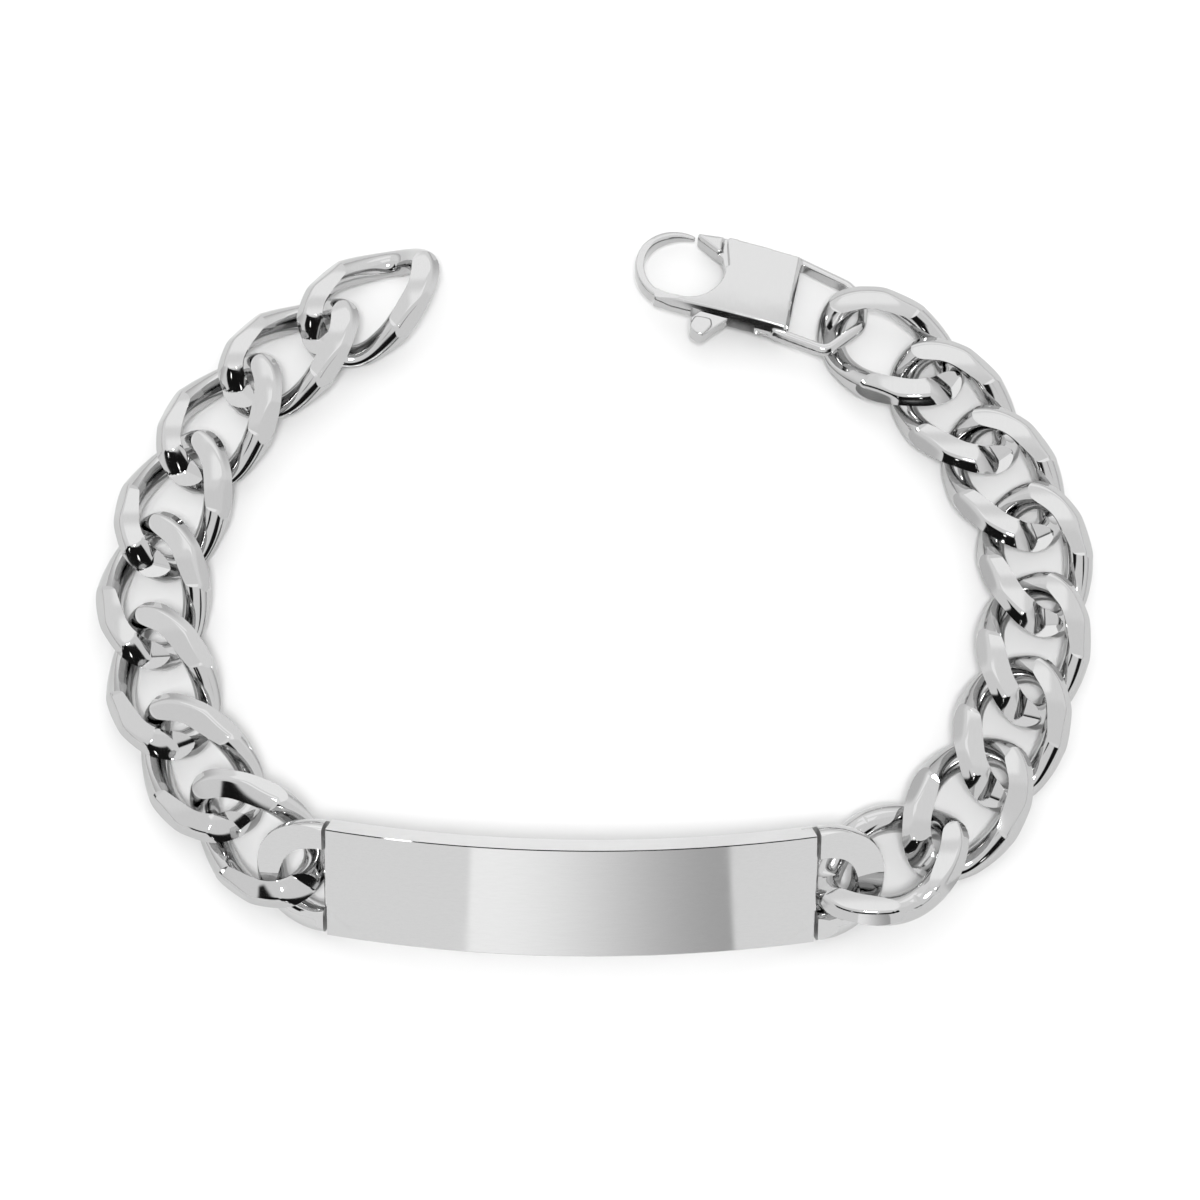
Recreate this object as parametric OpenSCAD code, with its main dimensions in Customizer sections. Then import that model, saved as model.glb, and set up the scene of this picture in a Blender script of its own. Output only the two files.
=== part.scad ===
// Identity bracelet: curved name plate, diamond-cut curb chain, lever clasp.
// It lies open on a flat surface. +X runs to the right along the plate, +Y points from the
// plate into the open loop, +Z is up. The origin is the middle of the bounding box, at the
// height of the surface. All sizes are in millimetres and degrees.

/* [Curb links] */
// Outer length of a link
link_l = 15.1; // [15:0.1:15.2]
// Outer width of a link before its edges are cut
link_w = 10.7; // [10.6:0.1:10.8]
// Diameter of the link wire
wire_d = 2.7; // [2.4:0.1:2.7]
// How far the twist lifts the wire over the middle of the link
twist_rise = 1.95; // [1.9:0.05:2]
// Thickness of the chain between its two cut faces
chain_t = 3.9; // [3.6:0.1:4.4]
// Width of the bevel cut along each outer edge, seen from above
edge_w = 1.4; // [1.2:0.1:1.6]
// Height of the uncut outer edge
edge_t = 0.55; // [0.4:0.05:0.8]

/* [Name plate] */
// Length of the plate along its curve
plate_l = 44; // [43.6:0.1:44.4]
// Width of the plate
plate_w = 11; // [10.6:0.1:11.2]
// Thickness of the plate
plate_t = 2; // [1.6:0.1:2.2]
// Radius of the curved face
plate_r = 80; // [78:1:84]
// Angle between the plate and the surface that it leans on
plate_tilt = 48; // [47:0.5:49]
// Wire of the left end loop
left_loop_d = 2.3; // [2:0.1:2.4]
// Wire of the right end loop
right_loop_d = 2.6; // [2.3:0.1:2.7]

/* [Clasp] */
// Thickness of the clasp case
case_t = 2.7; // [2.6:0.1:2.9]
// Height of the slot that the lever moves in
slot_t = 1.4; // [1.3:0.1:1.6]
// Radial thickness of the hook
hook_w = 0.9; // [0.8:0.05:1]
// Height of the hook
hook_t = 2.1; // [2:0.1:2.4]
// Width of the bail strip, seen from above
bail_w = 0.9; // [0.8:0.1:1]
// Height of the bail strip
bail_t = 1.6; // [1.2:0.1:1.8]
// Diameter of the pivot pin
pin_d = 1.2; // [1:0.1:1.3]
// Gap round the pin inside the lever's bore
pin_gap = 0.05; // [0.02:0.01:0.08]
// Gap above and below the lever inside the case
lever_gap = 0.1; // [0.08:0.01:0.15]

/* [Hidden] */

steel = "silver";
eps = 0.01;

// Where the bracelet lies: moves the middle of its bounding box onto the origin
lay_shift = [0.19, -1.44];

// Places of the left links, from the free end to the plate.
// x, y: middle of the link; yaw: direction from its free end to its plate end;
// lean: how far its inner side is raised
LX = 0; LY = 1; LYAW = 2; LLEAN = 3; LRISE = 4;
left_lay = [
    // x, y, yaw, lean, extra rise
    [-21.4, 29.6, -140, 8.1, 0],
    [-28.7, 24.3, -138.5, 10.6, 0],
    [-34.9, 17.6, -121.5, 9.8, 0],
    [-39, 9.3, -107.4, 7, 0],
    [-40.7, 0.6, -89.5, 8.6, 0.1],
    [-39.7, -8.4, -73.9, 16.6, 0.1],
    [-36.1, -16.7, -55.2, 21.4, 0.1],
    [-30.7, -23.4, -42.5, 31.5, 0.6]];

// Places of the right links, from the clasp to the plate, with the same columns
right_lay = [
    [27.4, 24.6, -34.9, 3, 0.4],
    [33.3, 18.9, -53.5, 0.2, 0],
    [37.7, 11.7, -64.4, -1.3, 0],
    [40.3, 3.8, -84.6, -4.5, 0],
    [39.7, -5.0, -100.3, -10.4, 0],
    [37.4, -12.9, -108.8, -11.2, 0],
    [33.1, -20.2, -126.8, -11.6, 0],
    [26.2, -25.8, -150, 4.7, 1.5]];

// The last right link is wider, and both its ends are twisted the same way
odd_w = 11.2;
odd_rise = 1.6;

// Middle of the plate's face
plate_at = [-2.4, -30.7, 7.9];
plate_yaw = -0.85;

// A link's mesh: sections round the link and sides of its wire
ring_n = 16;
wire_n = 6;
// The flats of the faceted wire come a little further out than those of one drawn inside it
wire_full = 1.02;

function unit(v) = v/norm(v);

// Height of the wire over the middle of a link, at the angle t round it
function twist_z(t, odd) = odd ? 2.6*odd_rise*sin(t)*pow(cos(t), 2) : -twist_rise*sin(2*t);

// A point of a link's centre line
function link_pt(t, odd) =
    [(link_l - wire_d)/2*cos(t), ((odd ? odd_w : link_w) - wire_d)/2*sin(t), twist_z(t, odd)];

// One section of a wire with radius r round point p, square to the direction d
function section(p, d, r, n) =
    let (side = unit(cross(d, [0, 0, 1])), top = unit(cross(side, d)))
    [for (k = [0:n - 1]) let (a = 360*(k + 0.5)/n) p + r*(side*cos(a) + top*sin(a))];

// Triangles between section i and section j of a wire
function band(i, j, n) =
    [for (k = [0:n - 1]) let (m = (k + 1)%n)
        each [[i*n + k, j*n + m, j*n + k], [i*n + k, i*n + m, j*n + m]]];

// Point p of a link of width w, brought down to the flat and bevelled cuts if it is past them
function cut_pt(p, w) =
    let (bevel = edge_t/2 + (w/2 - abs(p[1]))*(chain_t - edge_t)/2/edge_w)
    [p[0], p[1], sign(p[2])*min(abs(p[2]), chain_t/2, bevel)];

module curb_link(odd = false) {
    w = odd ? odd_w : link_w;
    step = 360/ring_n;
    points = [for (i = [0:ring_n - 1])
        let (ahead = link_pt(i*step + 1, odd) - link_pt(i*step - 1, odd))
        for (p = section(link_pt(i*step, odd), ahead, wire_d/2*wire_full, wire_n)) cut_pt(p, w)];
    faces = [for (i = [0:ring_n - 1]) each band(i, (i + 1)%ring_n, wire_n)];
    polyhedron(points, faces, convexity = 6);
}

// Height of a leaning link's middle when its lower cut edge touches the surface
function seat(lean) = chain_t/2*cos(lean) + (link_w/2 - edge_w)*sin(abs(lean));

module lay_link(row, odd = false) {
    color(steel)
        translate([row[LX] + lay_shift[0], row[LY] + lay_shift[1], seat(row[LLEAN]) + row[LRISE]])
            rotate([0, 0, row[LYAW]])
                rotate([row[LLEAN], 0, 0])
                    curb_link(odd);
}

module left_link(i) { lay_link(left_lay[i - 1]); }

module right_link(i) { lay_link(right_lay[i - 1], i == len(right_lay)); }

// Half of the angle that the plate spans
plate_half = plate_l/2/plate_r*180/PI;

// End loop, in a frame at the plate's end: +X outwards, +Y across the plate, +Z out of its face
function loop_pt(s, reach, half, lift) =
    [reach*pow(cos(s), loop_full), half*sign(s)*pow(abs(sin(s)), loop_full), lift*sin(2*s)];

loop_root = 1.2;
loop_full = 0.8;
loop_cut = 2.6;
loop_n = 12;

module end_loop(d, reach, half, lift) {
    r = d/2;
    step = 180/loop_n;
    arc = [for (i = [0:loop_n]) loop_pt(-90 + i*step, reach - r, half, lift)];
    path = [each [[-loop_root, -half, 0]], each arc, each [[-loop_root, half, 0]]];
    last = len(path) - 1;
    sides = 8;
    points = [for (i = [0:last])
        for (p = section(path[i], path[min(i + 1, last)] - path[max(i - 1, 0)], r, sides))
            [p[0], p[1], sign(p[2])*min(abs(p[2]), loop_cut/2)]];
    faces = [each [for (i = [0:last - 1]) each band(i, i + 1, sides)],
             [for (k = [sides - 1:-1:0]) k],
             [for (k = [0:sides - 1]) last*sides + k]];
    polyhedron(points, faces, convexity = 6);
}

module plate_end(side) {
    rotate([0, side*plate_half, 0])
        translate([0, 0, plate_r - plate_t/2])
            rotate([0, 0, side < 0 ? 180 : 0])
                children();
}

module id_plate() {
    color(steel)
    translate([plate_at[0] + lay_shift[0], plate_at[1] + lay_shift[1], plate_at[2]])
        rotate([0, 0, plate_yaw])
            rotate([plate_tilt, 0, 0])
                translate([0, 0, -plate_r]) {
                    difference() {
                        rotate([90, 0, 0])
                            cylinder(h = plate_w, r = plate_r, center = true, $fn = 180);
                        rotate([90, 0, 0])
                            cylinder(h = plate_w + 1, r = plate_r - plate_t, center = true, $fn = 180);
                        for (s = [-1, 1])
                            rotate([0, s*plate_half, 0])
                                translate([s*plate_r*2, 0, 0])
                                    cube([plate_r*4, plate_w + 2, plate_r*4], center = true);
                        translate([0, 0, -plate_r])
                            cube([plate_r*3, plate_w + 2, plate_r*2], center = true);
                    }
                    plate_end(1) end_loop(right_loop_d, 6.5, 4.7, 0.5);
                    plate_end(-1) mirror([0, 1, 0]) end_loop(left_loop_d, 6.6, 4.8, 0.7);
                }
}

// Clasp frame: +X from the hook to the bail, +Y to the gate's side, +Z up
clasp_at = [14.9, 30.9, 2.2];
clasp_yaw = -16;
clasp_lean = -11;

// Eye of the clasp and the hook round it
eye_at = [-7.4, 0];
eye_r = 3.4;
eye_stretch = 0.8;
// Angles between which the hook runs, from its tip round its nose to the case
hook_from = 84;
hook_to = 270;
// Slope of the hook's upper and lower faces near its tip
hook_taper = 10;

// Corner i of an outline with rows x, y, corner radius, as points of an arc
function corner_arc(pts, i, n = 6) =
    let (c = len(pts),
         p = [pts[i][0], pts[i][1]],
         a = unit([pts[(i + c - 1)%c][0], pts[(i + c - 1)%c][1]] - p),
         b = unit([pts[(i + 1)%c][0], pts[(i + 1)%c][1]] - p),
         half = acos(a*b)/2,
         r = pts[i][2],
         mid = p + unit(a + b)*r/sin(half),
         from = p + a*r/tan(half) - mid,
         to = p + b*r/tan(half) - mid)
    r < eps ? [p]
        : [for (k = [0:n]) let (w = k/n, q = from*(1 - w) + to*w) mid + unit(q)*r];

function outline(pts) = [for (i = [0:len(pts) - 1]) each corner_arc(pts, i)];

// Rows of a convex outline moved inwards by w
function inset(pts, w) =
    let (c = len(pts))
    [for (i = [0:c - 1])
        let (p = [pts[i][0], pts[i][1]],
             a = unit([pts[(i + c - 1)%c][0], pts[(i + c - 1)%c][1]] - p),
             b = unit([pts[(i + 1)%c][0], pts[(i + 1)%c][1]] - p),
             q = p + unit(a + b)*w/sin(acos(a*b)/2))
        [q[0], q[1], max(0, pts[i][2] - w)]];

// Case outline: x, y, corner radius
case_pts = [[-8.6, -4.5, 0.5], [4.15, -4.5, 0.8], [3.4, 4.15, 0.5], [-4.05, 4.35, 0.3],
            [-3, 1.2, 0], [-4.6, -0.4, 0], [-8.6, -0.4, 0]];

// Bail, outer edge: x, y, corner radius
bail_pts = [[2.6, 4.85, 0], [8.3, 3.5, 2], [10.4, 2.1, 1.6], [11, -1.2, 2], [8.3, -5.3, 1.8],
            [2.6, -4.7, 0]];

pivot_at = [-1.5, -0.5];
hub_r = 1.3;

// Lever outline, gate arm above its hub and tab arm below it: x, y, corner radius
lever_pts = [[-1.9, 3.8, 0.4], [-4, 4.5, 0.2], [-6.75, 4.1, 0.2], [-6.6, 3.5, 0.2], [-3.9, 2.2, 0.4],
             [-2.7, -0.6, 0.5], [-3.9, -3.4, 0.5], [-5, -5.2, 0.4], [-4.7, -6.4, 0.5], [-3.5, -7.1, 0.5],
             [-2.4, -5.4, 0.8], [-1.7, -4.4, 0.3], [-0.4, -0.6, 0.5]];

// Slot inside the case, wide enough for the lever's travel
slot_pts = [[-6, -5.5, 0], [2.4, -5.5, 0], [2.4, -2.4, 0.8], [0.6, 0.9, 1], [-1.5, 3.9, 0.2], [-2.6, 5, 0],
            [-6, 5, 0]];

module case_shape() {
    difference() {
        polygon(outline(case_pts));
        translate(eye_at) circle(r = eye_r, $fn = 64);
        translate([eye_at[0] + eye_stretch, eye_at[1]]) circle(r = eye_r, $fn = 64);
        translate([eye_at[0], eye_at[1] - eye_r]) square([eye_stretch, 2*eye_r]);
    }
}

// The hook thins towards its tip
module hook() {
    difference() {
        translate([eye_at[0], eye_at[1], 0])
            rotate([0, 0, hook_from])
                rotate_extrude(angle = hook_to - hook_from, $fn = 64)
                    translate([eye_r + hook_w/2, 0])
                        square([hook_w, hook_t], center = true);
        for (s = [-1, 1])
            translate([eye_at[0] - eye_r - hook_w, 0, s*hook_t/2])
                rotate([0, s*hook_taper, 0])
                    translate([0, 1, s > 0 ? 0 : -2])
                        cube([6, 5, 2]);
    }
}

module clasp_place() {
    translate([clasp_at[0] + lay_shift[0], clasp_at[1] + lay_shift[1], clasp_at[2]])
        rotate([0, 0, clasp_yaw])
            rotate([clasp_lean, 0, 0])
                children();
}

module clasp_body() {
    color(steel) clasp_place() {
        difference() {
            union() {
                linear_extrude(case_t, center = true) case_shape();
                hook();
            }
            linear_extrude(slot_t, center = true) polygon(outline(slot_pts));
        }
        linear_extrude(bail_t, center = true) difference() {
            polygon(outline(bail_pts));
            polygon(outline(inset(bail_pts, bail_w)));
        }
        translate([pivot_at[0], pivot_at[1], 0])
            cylinder(h = case_t - eps, d = pin_d, center = true, $fn = 48);
    }
}

module clasp_lever() {
    lever_t = slot_t - 2*lever_gap;
    color(steel) clasp_place()
        difference() {
            linear_extrude(lever_t, center = true) {
                polygon(outline(lever_pts));
                translate(pivot_at) circle(r = hub_r, $fn = 48);
            }
            translate([pivot_at[0], pivot_at[1], 0])
                cylinder(h = case_t, r = pin_d/2 + pin_gap, center = true, $fn = 48);
        }
}

id_plate();
left_link(1);  // left_link_1
left_link(2);  // left_link_2
left_link(3);  // left_link_3
left_link(4);  // left_link_4
left_link(5);  // left_link_5
left_link(6);  // left_link_6
left_link(7);  // left_link_7
left_link(8);  // left_link_8
right_link(1);  // right_link_1
right_link(2);  // right_link_2
right_link(3);  // right_link_3
right_link(4);  // right_link_4
right_link(5);  // right_link_5
right_link(6);  // right_link_6
right_link(7);  // right_link_7
right_link(8);  // right_link_8
clasp_body();
clasp_lever();
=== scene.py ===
"""Identity bracelet in polished steel: curved name plate, diamond-cut curb chain, lever clasp.

The sizes and places repeat those of the part's source, so each piece lies where its solid does.
Sizes in the code are in millimetres; the properties and the finished meshes are in metres.
"""

import math

import bmesh
import bpy
from bpy.props import FloatProperty, FloatVectorProperty, PointerProperty
from mathutils import Euler, Matrix, Vector


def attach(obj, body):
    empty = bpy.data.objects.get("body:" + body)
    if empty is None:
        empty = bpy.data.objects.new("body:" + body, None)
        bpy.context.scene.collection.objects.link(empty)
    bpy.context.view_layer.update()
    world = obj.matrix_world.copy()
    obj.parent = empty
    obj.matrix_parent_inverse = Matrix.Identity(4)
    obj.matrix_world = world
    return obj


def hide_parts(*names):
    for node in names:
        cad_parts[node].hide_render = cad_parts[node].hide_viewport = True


bl_info = {
    "name": "Identity bracelet",
    "version": (1, 0, 0),
    "blender": (4, 5, 0),
    "location": "3D View > Sidebar > Bracelet",
    "description": "Builds a steel identity bracelet and its studio",
    "category": "Object",
}

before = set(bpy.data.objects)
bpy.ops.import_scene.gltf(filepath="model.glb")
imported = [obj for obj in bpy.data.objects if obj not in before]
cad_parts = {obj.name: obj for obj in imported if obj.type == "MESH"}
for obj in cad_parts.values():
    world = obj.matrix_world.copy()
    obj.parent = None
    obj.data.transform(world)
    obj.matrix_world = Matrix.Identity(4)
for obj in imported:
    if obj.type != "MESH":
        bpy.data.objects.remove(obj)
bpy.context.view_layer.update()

MM = 0.001

# Moves the bracelet from the middle of its plate and chain onto the frame's origin
LAY_SHIFT = Vector((0.19, -1.44, 0))

# Links from the free end to the plate, then from the clasp to the plate:
# x, y (mm), direction towards the plate, lean of the inner side (degrees), extra rise (mm)
LEFT_LAY = (
    (-21.4, 29.6, -140, 8.1, 0), (-28.7, 24.3, -138.5, 10.6, 0), (-34.9, 17.6, -121.5, 9.8, 0),
    (-39, 9.3, -107.4, 7, 0), (-40.7, 0.6, -89.5, 8.6, 0.1), (-39.7, -8.4, -73.9, 16.6, 0.1),
    (-36.1, -16.7, -55.2, 21.4, 0.1), (-30.7, -23.4, -42.5, 31.5, 0.6))
RIGHT_LAY = (
    (27.4, 24.6, -34.9, 3, 0.4), (33.3, 18.9, -53.5, 0.2, 0), (37.7, 11.7, -64.4, -1.3, 0),
    (40.3, 3.8, -84.6, -4.5, 0), (39.7, -5.0, -100.3, -10.4, 0), (37.4, -12.9, -108.8, -11.2, 0),
    (33.1, -20.2, -126.8, -11.6, 0), (26.2, -25.8, -150, 4.7, 1.5))

# Clasp outlines in its own frame, +X from hook to bail, +Y to the gate's side: x, y, corner radius
CASE = ((-8.9, -4.3, 0.2), (-7.2, -4.5, 2), (4.15, -4.5, 0.8), (3.4, 4.15, 0.5), (-4.05, 4.35, 0.3),
        (-3, 1.2, 0), (-4.6, -0.4, 0), (-8.9, -0.4, 0))
SLOT = ((-5.1, -5.5, 0), (0.9, -5.5, 0), (1.0, -3.9, 0), (2.2, -3.9, 0.2), (2.4, -2.4, 0.8),
        (0.6, 0.9, 1), (-1.5, 3.9, 0.2), (-2.6, 5, 0), (-6, 5, 0))
BAIL = ((2.6, 4.85, 0.2), (8.3, 3.5, 2), (10.4, 2.1, 1.6), (11, -1.2, 2), (8.3, -5.3, 1.8),
        (2.6, -4.7, 0.2))
LEVER = ((-1.9, 3.8, 0.4), (-4, 4.5, 0.2), (-6.75, 4.1, 0.2), (-6.6, 3.5, 0.2), (-3.9, 2.2, 0.4),
         (-2.7, -0.6, 0.5), (-3.9, -3.4, 0.5), (-5, -5.2, 0.4), (-4.7, -6.4, 0.5),
         (-3.5, -7.1, 0.5), (-2.4, -5.4, 0.8), (-1.7, -4.4, 0.3), (-0.4, -0.6, 0.5))
GATE = ((-4.3, 4.5, 0.2), (-6.8, 4.15, 0.15), (-6.7, 3.6, 0.15), (-4.0, 2.3, 0.3))
TAB = ((-4.6, -5, 0.4), (-4.9, -6.4, 0.6), (-3.5, -7.1, 0.6), (-2.9, -5.6, 0.5), (-3.2, -4.9, 0.3))
EYE = (-7.4, 0.0)
EYE_RADIUS = 3.4
EYE_STRETCH = 0.8
PIVOT = (-1.5, -0.5)
PIN_RADIUS = 0.6

# Material slots: the plate's face, edge and loop joint, and the inside of the clasp case
FACE, EDGE, JOINT = 0, 1, 2
INSIDE = 1

# Slope of the rim that the cutter leaves round a link, and on the right link at the plate
RIM_SLOPE = 0.9
LAST_RIM_SLOPE = 1.22
# Slope towards the wearer at which each link's shoulder starts
SHOULDER_DIP = math.radians(37)


def linear(hex_colour):
    """Turn an sRGB hex colour into linear red, green and blue."""
    values = [int(hex_colour[i:i + 2], 16)/255 for i in (1, 3, 5)]
    return tuple(v/12.92 if v <= 0.04045 else ((v + 0.055)/1.055)**2.4 for v in values)


def length(name, description, value):
    """A length property; value is in millimetres."""
    return FloatProperty(name=name, description=description, default=value*MM, min=0,
                         precision=5, unit='LENGTH')


class ChainSizes(bpy.types.PropertyGroup):
    link_length: length("Link length", "Outer length of a link", 15.1)
    link_width: length("Link width", "Outer width of a link before its edges are cut", 10.7)
    wire: length("Wire", "Diameter of the link wire", 2.64)
    twist: length("Twist", "How far the twist lifts the wire over the middle of the link", 1.95)
    thickness: length("Thickness", "Chain thickness between its two cut faces", 3.9)
    edge_width: length("Bevel width", "Width of the bevel cut along each outer edge", 1.4)
    edge_height: length("Edge height", "Height of the uncut outer edge", 0.55)
    last_width: length("Last link width", "Outer width of the right link at the plate", 11.2)
    last_rise: length("Last link rise", "Rise of both ends of that link", 1.6)
    last_bevel: length("Last link bevel", "Width of that link's bevels", 1.1)
    edge_round: length("Edge rounding", "Softness of the line between face and bevel", 0.35)
    face_radius: length("Face radius", "Radius of the slightly domed cut faces", 16)


class PlateSizes(bpy.types.PropertyGroup):
    length: length("Length", "Length of the plate along its curve", 44)
    width: length("Width", "Width of the plate", 11)
    thickness: length("Thickness", "Thickness of the plate", 2)
    radius: length("Face radius", "Radius of the curved face", 80)
    edge_round: length("Edge rounding", "Rounding of the plate's edges", 0.12)
    tilt: FloatProperty(name="Tilt", description="Angle between the plate and the surface",
                        default=math.radians(48), subtype='ANGLE')
    yaw: FloatProperty(name="Yaw", description="Turn of the plate on the surface",
                       default=math.radians(-0.85), subtype='ANGLE')
    left_wire: length("Left loop wire", "Wire of the left end loop", 2.3)
    right_wire: length("Right loop wire", "Wire of the right end loop", 2.6)


class ClaspSizes(bpy.types.PropertyGroup):
    case: length("Case thickness", "Thickness of the clasp case", 2.7)
    slot: length("Slot height", "Height of the slot that the lever moves in", 1.4)
    hook_width: length("Hook width", "Thickness of the hook, seen from above", 0.9)
    hook_height: length("Hook height", "Height of the hook", 2.1)
    bail_width: length("Bail width", "Width of the bail strip, seen from above", 0.9)
    bail_height: length("Bail height", "Height of the bail strip", 1.6)
    lever: length("Lever thickness", "Thickness of the lever", 1.2)


class SteelColours(bpy.types.PropertyGroup):
    plate: FloatVectorProperty(name="Plate", description="Colour of the polished plate",
                               subtype='COLOR', size=3, default=linear("#c6c6c6"))
    chain: FloatVectorProperty(name="Chain", description="Colour of the cut links",
                               subtype='COLOR', size=3, default=linear("#bcbcbc"))
    clasp: FloatVectorProperty(name="Clasp", description="Colour of the clasp",
                               subtype='COLOR', size=3, default=linear("#bcbcbc"))
    floor: FloatVectorProperty(name="Floor", description="Colour of the studio floor",
                               subtype='COLOR', size=3, default=linear("#d4d4d4"))


def add(tree, kind, inputs=None, **settings):
    """Add a node, set its attributes and fill its inputs with values or links."""
    new = tree.nodes.new(kind)
    for key, value in settings.items():
        setattr(new, key, value)
    for key, value in (inputs or {}).items():
        for item in value if isinstance(value, list) else [value]:
            if isinstance(item, bpy.types.NodeSocket):
                tree.links.new(item, new.inputs[key])
            else:
                new.inputs[key].default_value = item
    return new


# Materials

def polished_steel(name, colour, rough, wave_mm, wave_height_mm, lines_mm, along):
    """Steel with low waves and fine buffing lines that run along the given axis."""
    material = bpy.data.materials.new(name)
    material.use_nodes = True
    tree = material.node_tree
    tree.nodes.clear()
    place = add(tree, 'ShaderNodeTexCoord').outputs["Object"]
    stretch = tuple(0.06 if axis == along else 1.0 for axis in range(3))
    waves = add(tree, 'ShaderNodeTexNoise', {"Vector": place, "Scale": 1/(wave_mm*MM), "Detail": 1.0,
                                             "Roughness": 0.4})
    lined = add(tree, 'ShaderNodeMapping', {"Vector": place, "Scale": stretch})
    lines = add(tree, 'ShaderNodeTexNoise', {"Vector": lined.outputs[0], "Scale": 1/(lines_mm*MM),
                                             "Detail": 2.0, "Roughness": 0.6})
    smudge = add(tree, 'ShaderNodeTexNoise', {"Vector": place, "Scale": 1/(3*MM), "Detail": 3.0})
    sheen = add(tree, 'ShaderNodeMapRange', {"Value": smudge.outputs[0], "From Min": 0.3,
                                             "From Max": 0.7, "To Min": rough*0.7, "To Max": rough*1.5})
    worn = add(tree, 'ShaderNodeMapRange', {"Value": lines.outputs[0], "From Min": 0.35,
                                            "From Max": 0.65, "To Min": 0.98, "To Max": 1.0})
    tone = add(tree, 'ShaderNodeVectorMath', {0: tuple(colour), "Scale": worn.outputs[0]},
               operation='SCALE')
    low = add(tree, 'ShaderNodeBump', {"Strength": 1.0, "Distance": wave_height_mm*MM,
                                       "Height": waves.outputs[0]})
    fine = add(tree, 'ShaderNodeBump', {"Strength": 1.0, "Distance": 0.00012*MM,
                                        "Height": lines.outputs[0], "Normal": low.outputs[0]})
    steel = add(tree, 'ShaderNodeBsdfPrincipled',
                {"Base Color": tone.outputs[0], "Metallic": 1.0, "Roughness": sheen.outputs[0],
                 "Normal": fine.outputs[0]})
    add(tree, 'ShaderNodeOutputMaterial', {"Surface": steel.outputs[0]})
    return material


def buffed_plate_steel():
    """Rolled stainless steel strip, mirror buffed along its length: clear, slightly streaked."""
    colours = bpy.context.scene.bracelet_colours
    return polished_steel("buffed_stainless_plate", colours.plate, 0.045, 9, 0.002, 0.12, 0)


def cut_link_steel():
    """Drawn stainless steel wire with flat cuts, tumble polished: mirror faces, soft sides."""
    colours = bpy.context.scene.bracelet_colours
    return polished_steel("diamond_cut_stainless_links", colours.chain, 0.06, 1.6, 0.003, 0.08, 1)


def cast_clasp_steel():
    """Cast stainless steel, hand polished: a softer shine with low waves left by the wheel."""
    colours = bpy.context.scene.bracelet_colours
    return polished_steel("hand_polished_cast_stainless", colours.clasp, 0.1, 1.4, 0.008, 0.1, 1)


def satin_edge_steel_painted_sheen():
    """Edges of the plate, rubbed with a fine belt to an even satin, and made 1.3 times lighter than the
    face as a painted sheen.
    """
    # Painted sheen: the edges get a lighter copy of the plate's colour in place of brighter light on
    # them; the satin roughness is real
    colour = [min(1, 1.3*part) for part in bpy.context.scene.bracelet_colours.plate]
    return polished_steel("satin_stainless_edge_painted_sheen", colour, 0.36, 3, 0.001, 0.2, 0)


def as_cast_steel():
    """Inside of the clasp case, which no polishing wheel reaches: matt and grey."""
    colours = bpy.context.scene.bracelet_colours
    return polished_steel("as_cast_stainless", colours.clasp, 0.45, 0.5, 0.01, 0.2, 1)


# Meshes

def corner_arcs(rows, steps=6):
    """Points of an outline given as x, y, corner radius."""
    points = []
    for i, (x, y, radius) in enumerate(rows):
        corner = Vector((x, y))
        if radius < 0.01:
            points.append(corner)
            continue
        back = (Vector(rows[i - 1][:2]) - corner).normalized()
        on = (Vector(rows[(i + 1) % len(rows)][:2]) - corner).normalized()
        half = back.angle(on)/2
        middle = corner + (back + on).normalized()*radius/math.sin(half)
        start = corner + back*radius/math.tan(half) - middle
        end = corner + on*radius/math.tan(half) - middle
        for k in range(steps + 1):
            points.append(middle + start.lerp(end, k/steps).normalized()*radius)
    return points


def circle(middle, radius):
    """Points of a circle."""
    return [(middle[0] + radius*math.cos(a), middle[1] + radius*math.sin(a))
            for a in (math.tau*k/48 for k in range(48))]


def shrink(points, width):
    """Points of a closed outline moved inwards, each across the line through its neighbours."""
    moved = []
    for i, point in enumerate(points):
        ahead = (points[(i + 1) % len(points)] - points[i - 1]).normalized()
        moved.append(point + Vector((-ahead.y, ahead.x))*width)
    return moved


def inset(rows, width):
    """Rows of a convex outline moved inwards."""
    moved = []
    for i, (x, y, radius) in enumerate(rows):
        corner = Vector((x, y))
        back = (Vector(rows[i - 1][:2]) - corner).normalized()
        on = (Vector(rows[(i + 1) % len(rows)][:2]) - corner).normalized()
        corner = corner + (back + on).normalized()*width/math.sin(back.angle(on)/2)
        moved.append((corner.x, corner.y, max(0, radius - width)))
    return moved


def prism(name, outline, low, high):
    """A closed prism on a 2D outline between two heights."""
    mesh = bmesh.new()
    base = [mesh.verts.new((p[0], p[1], low)) for p in outline]
    bottom = mesh.faces.new(base)
    top = bmesh.ops.extrude_face_region(mesh, geom=[bottom])
    bmesh.ops.translate(mesh, vec=(0, 0, high - low),
                        verts=[v for v in top["geom"] if isinstance(v, bmesh.types.BMVert)])
    bmesh.ops.recalc_face_normals(mesh, faces=mesh.faces)
    return as_object(mesh, name)


def loft(name, outlines, heights):
    """A closed solid through outlines with equal numbers of points, one above the other."""
    mesh = bmesh.new()
    rings = [[mesh.verts.new((p[0], p[1], z)) for p in outline]
             for outline, z in zip(outlines, heights)]
    count = len(rings[0])
    for low, high in zip(rings, rings[1:]):
        for k in range(count):
            m = (k + 1) % count
            mesh.faces.new((low[k], low[m], high[m], high[k]))
    mesh.faces.new(rings[0][::-1])
    mesh.faces.new(rings[-1])
    bmesh.ops.recalc_face_normals(mesh, faces=mesh.faces)
    return as_object(mesh, name)


def as_object(mesh, name):
    """A scene object from a bmesh."""
    data = bpy.data.meshes.new(name)
    mesh.to_mesh(data)
    mesh.free()
    piece = bpy.data.objects.new(name, data)
    bpy.context.scene.collection.objects.link(piece)
    return piece


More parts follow.
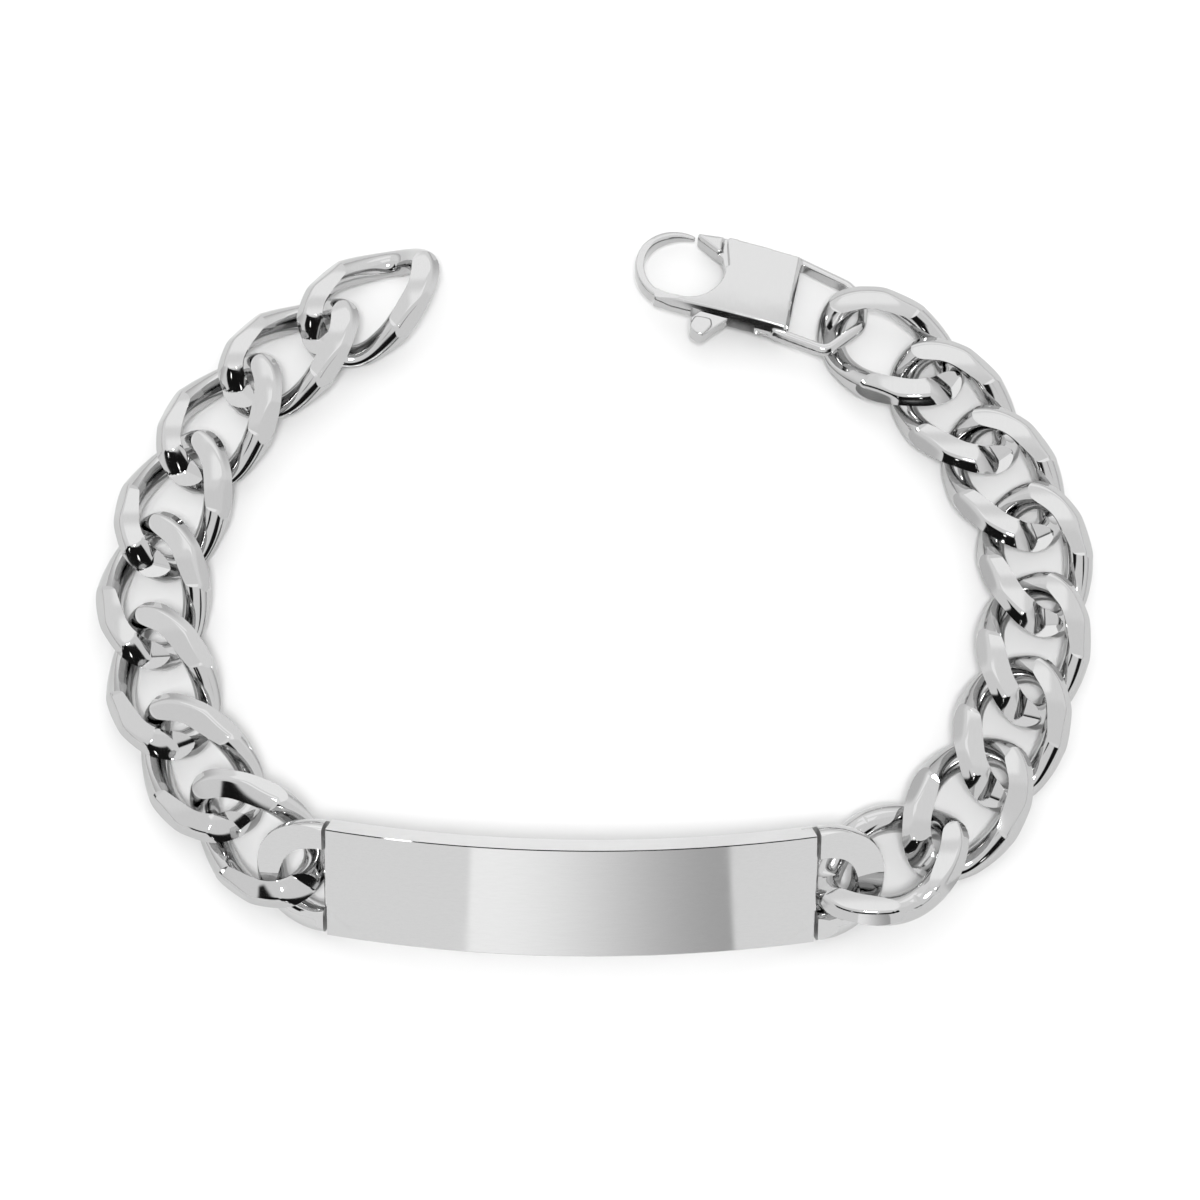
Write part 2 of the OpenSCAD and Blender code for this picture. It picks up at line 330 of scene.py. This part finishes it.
def sweep(name, path, sections):
    """A closed tube through the path; each section gives points as (sideways, upwards)."""
    mesh = bmesh.new()
    rings = []
    for i, point in enumerate(path):
        ahead = (path[min(i + 1, len(path) - 1)] - path[max(i - 1, 0)]).normalized()
        side = ahead.cross(Vector((0, 0, 1))).normalized()
        up = side.cross(ahead)
        rings.append([mesh.verts.new(point + side*a + up*b) for a, b in sections[i]])
    count = len(rings[0])
    for near, far in zip(rings, rings[1:]):
        for k in range(count):
            m = (k + 1) % count
            mesh.faces.new((near[k], far[k], far[m], near[m]))
    mesh.faces.new(rings[0])
    mesh.faces.new(rings[-1][::-1])
    bmesh.ops.recalc_face_normals(mesh, faces=mesh.faces)
    for face in mesh.faces:
        face.smooth = True
    return as_object(mesh, name)


def cut(piece, tool, operation='DIFFERENCE'):
    """Cut the tool out of the piece, or keep their common part, and delete the tool."""
    knife = piece.modifiers.new("cut", 'BOOLEAN')
    knife.operation = operation
    knife.solver = 'EXACT'
    knife.object = tool
    bake(piece)
    bpy.data.objects.remove(tool)


def bake(piece):
    """Replace the piece's mesh by the result of its modifiers, and remove them."""
    graph = bpy.context.evaluated_depsgraph_get()
    plain = bpy.data.meshes.new_from_object(piece.evaluated_get(graph), depsgraph=graph,
                                            preserve_all_data_layers=True)
    piece.modifiers.clear()
    piece.data = plain


def tumble(piece, voxel, passes):
    """Fuse closed meshes that overlap and round them as casting and tumbling do."""
    fuse = piece.modifiers.new("fuse", 'REMESH')
    fuse.mode = 'VOXEL'
    fuse.voxel_size = voxel
    fuse.use_smooth_shade = True
    even = piece.modifiers.new("tumble", 'SMOOTH')
    even.factor = 0.5
    even.iterations = passes
    bake(piece)


def round_edges(piece, width):
    """Round the sharp edges by width (mm) and bake the result."""
    bevel = piece.modifiers.new("edges", 'BEVEL')
    bevel.width = width
    bevel.segments = 3
    bevel.limit_method = 'ANGLE'
    bevel.angle_limit = math.radians(30)
    bevel.use_clamp_overlap = False
    bevel.miter_outer = 'MITER_ARC'
    bake(piece)
    piece.data.shade_smooth()
    flats = piece.modifiers.new("flats", 'WEIGHTED_NORMAL')
    flats.weight = 100
    bake(piece)


def empty_slots(piece, count):
    """Give the piece material slots that are filled when it is settled."""
    for _ in range(count):
        piece.data.materials.append(None)


def merge(piece, others):
    """Join closed meshes into one object."""
    mesh = bmesh.new()
    for item in [piece, *others]:
        mesh.from_mesh(item.data)
    mesh.to_mesh(piece.data)
    mesh.free()
    for item in others:
        bpy.data.objects.remove(item)


def settle(piece, place, materials, body, nodes):
    """Put a piece made in millimetres in its place, in metres, and tie it to the frame."""
    piece.data.transform(Matrix.Scale(MM, 4) @ place)
    kinds = [face.material_index for face in piece.data.polygons]
    piece.data.materials.clear()
    for material in materials:
        piece.data.materials.append(material)
    piece.data.polygons.foreach_set("material_index", kinds)
    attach(piece, body)
    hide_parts(*nodes)


# Curb links

def curb_link_tree():
    """Node tree of one link: a twisted loop of round wire, cut by a cushion-shaped block.

    The block is what the diamond cutter leaves: two slightly domed faces, a soft bevel along both
    sides, a rim round the ends, and a shoulder that falls towards one end of each face.
    """
    tree = bpy.data.node_groups.new("curb_link", 'GeometryNodeTree')
    for name in ("Length", "Width", "Wire", "Twist", "End Rise", "Thickness", "Bevel Width",
                 "Edge Height", "Edge Round", "Face Radius", "Rim Slope", "Shoulder Slope"):
        tree.interface.new_socket(name, in_out='INPUT', socket_type='NodeSocketFloat')
    tree.interface.new_socket("Place", in_out='INPUT', socket_type='NodeSocketVector')
    tree.interface.new_socket("Turn", in_out='INPUT', socket_type='NodeSocketVector')
    tree.interface.new_socket("Steel", in_out='INPUT', socket_type='NodeSocketMaterial')
    tree.interface.new_socket("Link", in_out='OUTPUT', socket_type='NodeSocketGeometry')
    size = add(tree, 'NodeGroupInput').outputs

    def calc(operation, a, b=0.0, c=0.0):
        return add(tree, 'ShaderNodeMath', {0: a, 1: b, 2: c}, operation=operation).outputs[0]

    def times(*factors):
        product = factors[0]
        for factor in factors[1:]:
            product = calc('MULTIPLY', product, factor)
        return product

    def squares(a, b):
        return calc('ADD', times(a, a), times(b, b))

    def vector(a, b, c):
        return add(tree, 'ShaderNodeCombineXYZ', {0: a, 1: b, 2: c}).outputs[0]

    position = add(tree, 'GeometryNodeInputPosition').outputs[0]
    place = add(tree, 'ShaderNodeSeparateXYZ', {0: position})
    x, y, z = (place.outputs[i] for i in range(3))

    # Twisted loop, from a circle of radius 1
    ring = add(tree, 'GeometryNodeCurvePrimitiveCircle', {"Resolution": 400, "Radius": 1.0})
    twist = times(size["Twist"], -2.0, x, y)
    level = calc('ADD', twist, times(size["End Rise"], 2.6, y, x, x))
    along = times(calc('SUBTRACT', size["Length"], size["Wire"]), 0.5, x)
    across = times(calc('SUBTRACT', size["Width"], size["Wire"]), 0.5, y)
    loop = add(tree, 'GeometryNodeSetPosition', {
        "Geometry": ring.outputs[0], "Position": vector(along, across, level)})
    wire = add(tree, 'GeometryNodeCurvePrimitiveCircle',
               {"Resolution": 96, "Radius": times(size["Wire"], 0.5)})
    tube = add(tree, 'GeometryNodeCurveToMesh',
               {"Curve": loop.outputs[0], "Profile Curve": wire.outputs[0]})

    # Cushion-shaped block: height above the middle plane at each place
    block = add(tree, 'GeometryNodeMeshCube', {
        "Size": vector(times(size["Length"], 1.1), size["Width"], size["Thickness"]),
        "Vertices X": 161, "Vertices Y": 121, "Vertices Z": 2})
    half_thick = times(size["Thickness"], 0.5)
    half_edge = times(size["Edge Height"], 0.5)
    half_length, half_width = times(size["Length"], 0.5), times(size["Width"], 0.5)
    # Domed face: highest over the wire, near the corners of the link
    off_x = calc('SUBTRACT', calc('ABSOLUTE', x), times(size["Length"], 0.3))
    off_y = calc('SUBTRACT', calc('ABSOLUTE', y), times(size["Width"], 0.27))
    sag = calc('DIVIDE', squares(off_x, off_y), size["Face Radius"])
    face = calc('SUBTRACT', half_thick, times(sag, 0.5))
    # Straight bevel along both sides
    steep = calc('DIVIDE', calc('SUBTRACT', half_thick, half_edge), size["Bevel Width"])
    inward = calc('SUBTRACT', half_width, calc('ABSOLUTE', y))
    bevel = calc('ADD', half_edge, times(inward, steep))
    # Rim: falls outwards from a line inside the link's oval outline; inside is the distance to it
    flat_x, flat_y = calc('DIVIDE', x, half_length), calc('DIVIDE', y, half_width)
    slope = calc('SQRT', squares(calc('DIVIDE', flat_x, half_length),
                                 calc('DIVIDE', flat_y, half_width)))
    inside = calc('SUBTRACT', 1.0, squares(flat_x, flat_y))
    inside = calc('DIVIDE', inside, times(calc('MAXIMUM', slope, 30.0), 2.0))
    beyond = calc('SUBTRACT', times(size["Wire"], 0.36), inside)
    rim = calc('SUBTRACT', half_thick, times(beyond, size["Rim Slope"]))
    height = calc('SMOOTH_MIN', face, bevel, size["Edge Round"])
    height = calc('SMOOTH_MIN', height, rim, size["Edge Round"])
    # Shoulder at one end of each face: falls away from a point near the wire's turn
    past = calc('SUBTRACT', times(x, calc('SIGN', z)), times(size["Length"], 0.31))
    aside = calc('MULTIPLY_ADD', size["Width"], 0.215, y)
    aside = calc('MAXIMUM', aside, times(aside, -0.35))
    aside = calc('MINIMUM', aside, times(size["Width"], 0.22))
    reach = calc('SQRT', squares(calc('MAXIMUM', past, 0.0), aside))
    fall = calc('SUBTRACT', reach, times(size["Wire"], 0.37))
    fall = times(fall, calc('MULTIPLY_ADD', fall, 90.0, size["Shoulder Slope"]))
    # It clears the rest of the face, and all of the link with raised ends
    top = calc('MULTIPLY_ADD', calc('MAXIMUM', times(past, -1.0), 0.0), 2.0, half_thick)
    top = calc('MULTIPLY_ADD', size["End Rise"], 4.0, top)
    height = calc('MINIMUM', height, calc('SUBTRACT', top, fall))
    height = calc('MAXIMUM', height, times(half_edge, 0.3))
    block = add(tree, 'GeometryNodeSetPosition', {
        "Geometry": block.outputs[0], "Position": vector(x, y, times(height, calc('SIGN', z)))})
    link = add(tree, 'GeometryNodeMeshBoolean', {1: [tube.outputs[0], block.outputs[0]]},
               operation='INTERSECT', solver='MANIFOLD')
    laid = add(tree, 'GeometryNodeTransform', {
        "Geometry": link.outputs[0], "Translation": size["Place"], "Rotation": size["Turn"]})
    whole = add(tree, 'GeometryNodeRealizeInstances', {"Geometry": laid.outputs[0]})
    steel = add(tree, 'GeometryNodeSetMaterial',
                {"Geometry": whole.outputs[0], "Material": size["Steel"]})
    add(tree, 'NodeGroupOutput', {0: steel.outputs[0]})
    return tree


def seat(lean, sizes):
    """Height of a leaning link's middle when its lower cut edge touches the surface."""
    return (sizes.thickness/2*math.cos(lean)
            + (sizes.link_width/2 - sizes.edge_width)*math.sin(abs(lean)))


def make_link(name, row, last, tree, sizes, steel):
    """Make one link from the node tree and put it in the place of its solid."""
    x, y, yaw, lean, rise = row
    yaw, lean = math.radians(yaw), math.radians(lean)
    place = (LAY_SHIFT + Vector((x, y, rise)))*MM + Vector((0, 0, seat(lean, sizes)))
    # Slope in the link that gives the shoulder its dip on the surface, with the link's lean
    upright = (math.cos(SHOULDER_DIP)*math.cos(lean)
               + math.sin(SHOULDER_DIP)*math.cos(yaw)*math.sin(lean))
    values = {
        "Length": sizes.link_length, "Width": sizes.last_width if last else sizes.link_width,
        "Wire": sizes.wire, "Twist": 0.0 if last else sizes.twist,
        "End Rise": sizes.last_rise if last else 0.0, "Thickness": sizes.thickness,
        "Bevel Width": sizes.last_bevel if last else sizes.edge_width,
        "Rim Slope": LAST_RIM_SLOPE if last else RIM_SLOPE,
        "Shoulder Slope": math.tan(math.acos(upright)), "Edge Height": sizes.edge_height,
        "Edge Round": sizes.edge_round, "Face Radius": sizes.face_radius,
        "Place": place, "Turn": (lean, 0.0, yaw), "Steel": steel}
    piece = bpy.data.objects.new(name + "_steel", bpy.data.meshes.new(name))
    bpy.context.scene.collection.objects.link(piece)
    maker = piece.modifiers.new("curb link", 'NODES')
    maker.node_group = tree
    for item in tree.interface.items_tree:
        if item.in_out == 'INPUT':
            maker[item.identifier] = values[item.name]
    bake(piece)
    piece.data.shade_smooth()
    piece.data.set_sharp_from_angle(angle=math.radians(17))
    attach(piece, "bracelet")
    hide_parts(name)


class BRACELET_OT_chain(bpy.types.Operator):
    """Make the sixteen curb links"""
    bl_idname = "bracelet.chain"
    bl_label = "Curb chain"

    def execute(self, context):
        sizes = context.scene.bracelet_chain
        tree = curb_link_tree()
        steel = cut_link_steel()
        for i, row in enumerate(LEFT_LAY, 1):
            make_link(f"left_link_{i}", row, False, tree, sizes, steel)
        for i, row in enumerate(RIGHT_LAY, 1):
            make_link(f"right_link_{i}", row, i == len(RIGHT_LAY), tree, sizes, steel)
        return {'FINISHED'}


# Name plate

def end_loop(name, wire, reach, half, lift, face):
    """One end loop in a frame at the plate's end: +X outwards, +Z out of the plate's face."""
    radius = wire/2
    path = [Vector((-1.0, 0.4 - half, 0))]
    for i in range(49):
        s = math.radians(-90 + i*180/48)
        out = max(0, math.cos(s))**0.8
        path.append(Vector(((reach - radius)*out, (half - 0.4*(1 - out)**3)
                            * math.copysign(abs(math.sin(s))**0.8, s), lift*math.sin(2*s))))
    path.append(Vector((-1.0, half - 0.4, 0)))
    section = [(1.1*radius*math.copysign(abs(math.cos(a))**0.75, math.cos(a)),
                radius*math.copysign(abs(math.sin(a))**0.75, math.sin(a)))
               for a in (math.tau*(k + 0.5)/40 for k in range(40))]
    loop = sweep(name, path, [section]*len(path))
    slab = prism("slab", [(-20, -20), (20, -20), (20, 20), (-20, 20)], -1.25, face)
    cut(loop, slab, 'INTERSECT')
    # Open joint in front of each arm's root, and the low wall that joins both arms
    joint = prism("joint", [(-2, -9), (0.4, -9), (0.4, 9), (-2, 9)], -0.5, 3)
    for item in (loop, joint):
        empty_slots(item, 3)
    joint.data.polygons.foreach_set("material_index", [JOINT]*len(joint.data.polygons))
    cut(loop, joint)
    root = prism("root", [(-0.6, -half + 0.4), (0.55, -half + 0.4), (0.55, half - 0.4),
                          (-0.6, half - 0.4)], -0.9, 0.3)
    round_edges(root, 0.3)
    merge(loop, [root])
    return loop


class BRACELET_OT_plate(bpy.types.Operator):
    """Make the curved name plate with its two end loops"""
    bl_idname = "bracelet.plate"
    bl_label = "Name plate"

    def execute(self, context):
        sizes = context.scene.bracelet_plate
        radius, thick = sizes.radius/MM, sizes.thickness/MM
        wide, half = sizes.width/MM, sizes.length/2/sizes.radius
        soft = sizes.edge_round/MM
        # Depth below the face and place across it: a fine bevel at the upper edge, the rest rounded
        section = corner_arcs(((0.018, wide/2, 0), (0, wide/2 - 0.1, 0), (0, -wide/2, soft),
                               (thick, -wide/2, soft), (thick, wide/2, soft)))
        mesh = bmesh.new()
        rings = []
        for i in range(129):
            a = -half + 2*half*i/128
            rings.append([mesh.verts.new(((radius - p.x)*math.sin(a), p.y,
                                          (radius - p.x)*math.cos(a) - radius)) for p in section])
        for near, far in zip(rings, rings[1:]):
            for k, here in enumerate(near):
                m = (k + 1) % len(near)
                mesh.faces.new((here, far[k], far[m], near[m]))
        mesh.faces.new(rings[0])
        mesh.faces.new(rings[-1][::-1])
        bmesh.ops.recalc_face_normals(mesh, faces=mesh.faces)
        plate = as_object(mesh, "id_plate_steel")
        plate.data.shade_smooth()
        plate.data.set_sharp_from_angle(angle=math.radians(8))
        empty_slots(plate, 2)
        for face in plate.data.polygons:
            face.material_index = EDGE if abs(face.normal.y) > 0.98 else FACE
        loops = []
        # Side, wire, reach beyond the plate, half width, lift of the wire
        for side, wire, reach, across, lift in ((1, sizes.right_wire/MM, 6.5, 4.55, 0.5),
                                                (-1, sizes.left_wire/MM, 6.6, 4.6, 0.7)):
            loop = end_loop("loop", wire, reach, across, lift, 0.98)
            if side < 0:
                loop.data.transform(Matrix.Scale(-1, 4, (0, 1, 0)))
                loop.data.flip_normals()
            end = (Matrix.Translation((0, 0, -radius)) @ Matrix.Rotation(side*half, 4, 'Y')
                   @ Matrix.Translation((0, 0, radius - thick/2))
                   @ Matrix.Rotation(math.pi if side < 0 else 0, 4, 'Z'))
            loop.data.transform(end)
            loops.append(loop)
        merge(plate, loops)
        place = (Matrix.Translation(LAY_SHIFT + Vector((-2.4, -30.7, 7.9)))
                 @ Euler((sizes.tilt, 0, sizes.yaw)).to_matrix().to_4x4())
        settle(plate, place, [buffed_plate_steel(), satin_edge_steel_painted_sheen(), as_cast_steel()],
               "bracelet", ["id_plate"])
        return {'FINISHED'}


# Clasp

CLASP_PLACE = (Matrix.Translation(LAY_SHIFT + Vector((14.9, 30.9, 2.2)))
               @ Euler((math.radians(-11), 0, math.radians(-16))).to_matrix().to_4x4())


def eye_outline():
    """The eye of the clasp as a stadium outline."""
    points = []
    for start, middle in ((-90, EYE[0] + EYE_STRETCH), (90, EYE[0])):
        for k in range(65):
            a = math.radians(start + 180*k/64)
            points.append((middle + EYE_RADIUS*math.cos(a), EYE_RADIUS*math.sin(a)))
    return points


def hook(width, height):
    """The fixed hook: a strip with round edges that thins towards its tip."""
    path, sections = [], []
    for i in range(73):
        along = i/72
        a = math.radians(84 + (272 - 84)*along)
        r = EYE_RADIUS + width/2
        path.append(Vector((EYE[0] + r*math.cos(a), EYE[1] + r*math.sin(a), 0)))
        tall = height*(0.3 + 0.7*min(1, along/0.42)**0.8)/2
        wide = width*(0.45 + 0.55*min(1, along/0.2)**0.7)/2
        sections.append([(wide*math.copysign(abs(math.cos(t))**0.6, math.cos(t)),
                          tall*math.copysign(abs(math.sin(t))**0.6, math.sin(t)))
                         for t in (math.tau*(k + 0.5)/28 for k in range(28))])
    return sweep("hook", path, sections)


class BRACELET_OT_clasp(bpy.types.Operator):
    """Make the clasp body: case, hook, bail and pivot pin"""
    bl_idname = "bracelet.clasp"
    bl_label = "Clasp body"

    def execute(self, context):
        sizes = context.scene.bracelet_clasp
        case, slot = sizes.case/2/MM, sizes.slot/2/MM
        body = prism("clasp_body_steel", corner_arcs(CASE), -case, case)
        cut(body, prism("eye", eye_outline(), -9, 9))
        # Long bevels on the tab's side, above and below
        for side in (1, -1):
            wedge = prism("wedge", [(-20, -3), (20, -3), (20, 3), (-20, 3)], 0, 3)
            wedge.data.transform(Matrix.Translation((0, -3.85, side*case))
                                 @ Matrix.Rotation(side*math.radians(53), 4, 'X')
                                 @ Matrix.Translation((0, 0, 0 if side > 0 else -3)))
            cut(body, wedge)
            wedge = prism("wedge", [(-3, -20), (3, -20), (3, 20), (-3, 20)], 0, 3)
            wedge.data.transform(Matrix.Translation((3.35, 0, side*case))
                                 @ Matrix.Rotation(math.radians(5), 4, 'Z')
                                 @ Matrix.Rotation(side*math.radians(50), 4, 'Y')
                                 @ Matrix.Translation((0, 0, 0 if side > 0 else -3)))
            cut(body, wedge)
        hook_strip = hook(sizes.hook_width/MM, sizes.hook_height/MM)
        outer, tall = corner_arcs(BAIL, 10)[::-1], sizes.bail_height/2/MM
        narrow = shrink(outer, 0.36)
        bail = loft("bail", [narrow, outer, outer, narrow], [-tall, -tall + 0.48, tall - 0.48, tall])
        cut(bail, prism("gap", corner_arcs(inset(BAIL, sizes.bail_width/MM), 10), -9, 9))
        merge(body, [hook_strip, bail])
        tumble(body, 0.09, 5)
        # The polished faces are slightly domed
        for point in body.data.vertices:
            x, y, z = point.co
            z = z*(1 - 0.007*(y - 0.2)**2 - 0.004*min(0, max(x, -6) + 0.5)**2
                   - 0.006*max(0, min(x, 4) - 0.5)**2)
            low = 1.35 - 0.14*min(4, max(0, -4.5 - x))
            point.co.z = math.copysign(min(abs(z), low), z)
        cut(body, prism("recess", [(1.2, -5), (2.3, -5), (2.3, -4.3), (1.2, -4.3)], -0.45, 0.45))
        opening = prism("slot", corner_arcs(SLOT), -slot, slot)
        for item in (body, opening):
            empty_slots(item, 2)
        opening.data.polygons.foreach_set("material_index", [INSIDE]*len(opening.data.polygons))
        cut(body, opening)
        pin = prism("pin", circle(PIVOT, PIN_RADIUS), -slot - 0.1, slot + 0.1)
        merge(body, [pin])
        body.data.shade_smooth()
        body.data.set_sharp_from_angle(angle=math.radians(50))
        inside = bpy.data.materials.get("as_cast_stainless") or as_cast_steel()
        settle(body, CLASP_PLACE, [cast_clasp_steel(), inside], "bracelet", ["clasp_body"])
        return {'FINISHED'}


class BRACELET_OT_lever(bpy.types.Operator):
    """Make the clasp lever: gate, hub and thumb tab"""
    bl_idname = "bracelet.lever"
    bl_label = "Clasp lever"

    def execute(self, context):
        sizes = context.scene.bracelet_clasp
        half = sizes.lever/2/MM
        lever = prism("clasp_lever_steel", corner_arcs(LEVER), -half, half)
        hub = prism("hub", circle(PIVOT, 1.3), -half, half)
        # Outside the case the gate and the tab are thicker
        gate = prism("gate", corner_arcs(GATE), -0.95, 0.95)
        round_edges(gate, 0.4)
        tab = prism("tab", corner_arcs(TAB), -0.8, 0.8)
        merge(lever, [hub, gate, tab])
        tumble(lever, 0.07, 4)
        cut(lever, prism("bore", circle(PIVOT, PIN_RADIUS + 0.05), -9, 9))
        lever.data.shade_smooth()
        lever.data.set_sharp_from_angle(angle=math.radians(50))
        steel = bpy.data.materials.get("hand_polished_cast_stainless") or cast_clasp_steel()
        settle(lever, CLASP_PLACE, [steel], "lever", ["clasp_lever"])
        return {'FINISHED'}


# Studio

def studio_world():
    """Soft white tent with two softboxes, a ring light and a dark opening towards the viewer."""
    world = bpy.data.worlds.new("studio_tent")
    world.use_nodes = True
    tree = world.node_tree
    tree.nodes.clear()
    direction = add(tree, 'ShaderNodeTexCoord').outputs["Generated"]
    way = add(tree, 'ShaderNodeSeparateXYZ', {0: direction})
    x, y, z = (way.outputs[i] for i in range(3))

    def step(value, low, high):
        return add(tree, 'ShaderNodeMapRange', {"Value": value, "From Min": low, "From Max": high},
                   interpolation_type='SMOOTHSTEP').outputs[0]

    def every(*values):
        product = values[0]
        for value in values[1:]:
            both = add(tree, 'ShaderNodeMath', {0: product, 1: value}, operation='MULTIPLY')
            product = both.outputs[0]
        return product

    def blend(where, below, above):
        return add(tree, 'ShaderNodeMix', {"Factor": where, 2: below, 3: above}).outputs[0]

    def near(spot, outer, inner):
        away = add(tree, 'ShaderNodeVectorMath', {0: direction, 1: spot}, operation='DISTANCE')
        return step(away.outputs["Value"], outer, inner)

    # Tent wall, brighter away from the viewer, darker low at the viewer's side, and the softbox
    tent = blend(step(y, 0.05, 0.15), 0.95, 1.04)
    sides = every(step(y, -0.55, -0.35), step(z, 0.35, 0.0))
    tent = blend(sides, tent, 0.65)
    box = every(step(x, -0.37, -0.31), step(x, 0.37, 0.31), step(y, 0.17, 0.23),
                step(y, 0.55, 0.45), step(z, 0.5, 0.55))
    tent = blend(box, tent, 1.3)
    # Dark opening towards the viewer, seen in the links' shoulders
    south = every(step(y, -0.28, -0.32), step(x, -0.77, -0.74), step(x, 0.66, 0.62))
    dark = every(south, step(z, 0.28, 0.30), step(z, 0.66, 0.62))
    tent = blend(dark, tent, 0.01)
    # Small lamps seen in the opening
    for lamp in ((-0.4, -0.79, 0.46), (0.14, -0.87, 0.47)):
        tent = blend(near(lamp, 0.035, 0.025), tent, 4.0)
    # Ring light, 70 degrees above the floor on the viewer's side: whitens the ground
    tent = blend(near((0, -0.342, 0.94), 0.115, 0.1), tent, 48.0)
    # Second softbox, seen in the clasp's case
    low_box = every(step(x, -0.42, -0.36), step(x, 0.6, 0.54), step(y, 0.59, 0.66),
                    step(y, 0.88, 0.84), step(z, 0.45, 0.5))
    tent = blend(low_box, tent, 1.28)
    # Lit strip under the opening, seen in the plate: fades to the right
    strip = every(step(y, -0.8, -0.82), step(x, -0.24, -0.225), step(x, 0.31, 0.295),
                  step(z, 0.31, 0.3))
    tent = blend(strip, tent, blend(step(x, -0.2, 0.32), 1.22, 0.5))
    light = add(tree, 'ShaderNodeBackground', {"Color": (1, 1, 1, 1), "Strength": tent})
    add(tree, 'ShaderNodeOutputWorld', {"Surface": light.outputs[0]})
    return world


class BRACELET_OT_studio(bpy.types.Operator):
    """Make the floor, the light and the camera"""
    bl_idname = "bracelet.studio"
    bl_label = "Studio"

    def execute(self, context):
        scene = context.scene
        scene.world = studio_world()
        mesh = bmesh.new()
        bmesh.ops.create_grid(mesh, x_segments=1, y_segments=1, size=3)
        floor = as_object(mesh, "studio_floor")
        paper = bpy.data.materials.new("matt_white_paper")
        paper.use_nodes = True
        tree = paper.node_tree
        tree.nodes.clear()
        coat = add(tree, 'ShaderNodeBsdfPrincipled',
                   {"Base Color": (*scene.bracelet_colours.floor, 1), "Roughness": 0.9})
        add(tree, 'ShaderNodeOutputMaterial', {"Surface": coat.outputs[0]})
        floor.data.materials.append(paper)
        target = Vector((0.42, -1.44, 2))*MM
        away = Vector((0, -math.cos(math.radians(70)), math.sin(math.radians(70))))
        camera = bpy.data.objects.new("camera", bpy.data.cameras.new("camera"))
        camera.data.lens = 137.34
        camera.data.clip_start = 0.01
        camera.location = target + away*0.42
        camera.rotation_euler = away.to_track_quat('Z', 'Y').to_euler()
        scene.collection.objects.link(camera)
        scene.camera = camera
        scene.view_settings.view_transform = 'Standard'
        scene.view_settings.exposure = 0.25
        return {'FINISHED'}


class BRACELET_PT_panel(bpy.types.Panel):
    """Panel with the bracelet's sizes, colours and steps"""
    bl_idname = "BRACELET_PT_panel"
    bl_label = "Identity bracelet"
    bl_space_type = 'VIEW_3D'
    bl_region_type = 'UI'
    bl_category = "Bracelet"

    def draw(self, context):
        for group in (context.scene.bracelet_chain, context.scene.bracelet_plate,
                      context.scene.bracelet_clasp, context.scene.bracelet_colours):
            box = self.layout.box()
            for name in group.__annotations__:
                box.prop(group, name)
        for step in STEPS:
            self.layout.operator(step.bl_idname)


STEPS = (BRACELET_OT_plate, BRACELET_OT_chain, BRACELET_OT_clasp, BRACELET_OT_lever,
         BRACELET_OT_studio)
CLASSES = (ChainSizes, PlateSizes, ClaspSizes, SteelColours, *STEPS, BRACELET_PT_panel)


def register():
    for item in CLASSES:
        bpy.utils.register_class(item)
    bpy.types.Scene.bracelet_chain = PointerProperty(type=ChainSizes)
    bpy.types.Scene.bracelet_plate = PointerProperty(type=PlateSizes)
    bpy.types.Scene.bracelet_clasp = PointerProperty(type=ClaspSizes)
    bpy.types.Scene.bracelet_colours = PointerProperty(type=SteelColours)


def unregister():
    del bpy.types.Scene.bracelet_colours
    del bpy.types.Scene.bracelet_clasp
    del bpy.types.Scene.bracelet_plate
    del bpy.types.Scene.bracelet_chain
    for item in reversed(CLASSES):
        bpy.utils.unregister_class(item)


def main():
    register()
    bpy.ops.bracelet.plate()
    bpy.ops.bracelet.chain()
    bpy.ops.bracelet.clasp()
    bpy.ops.bracelet.lever()
    bpy.ops.bracelet.studio()


if __name__ == "__main__":
    main()
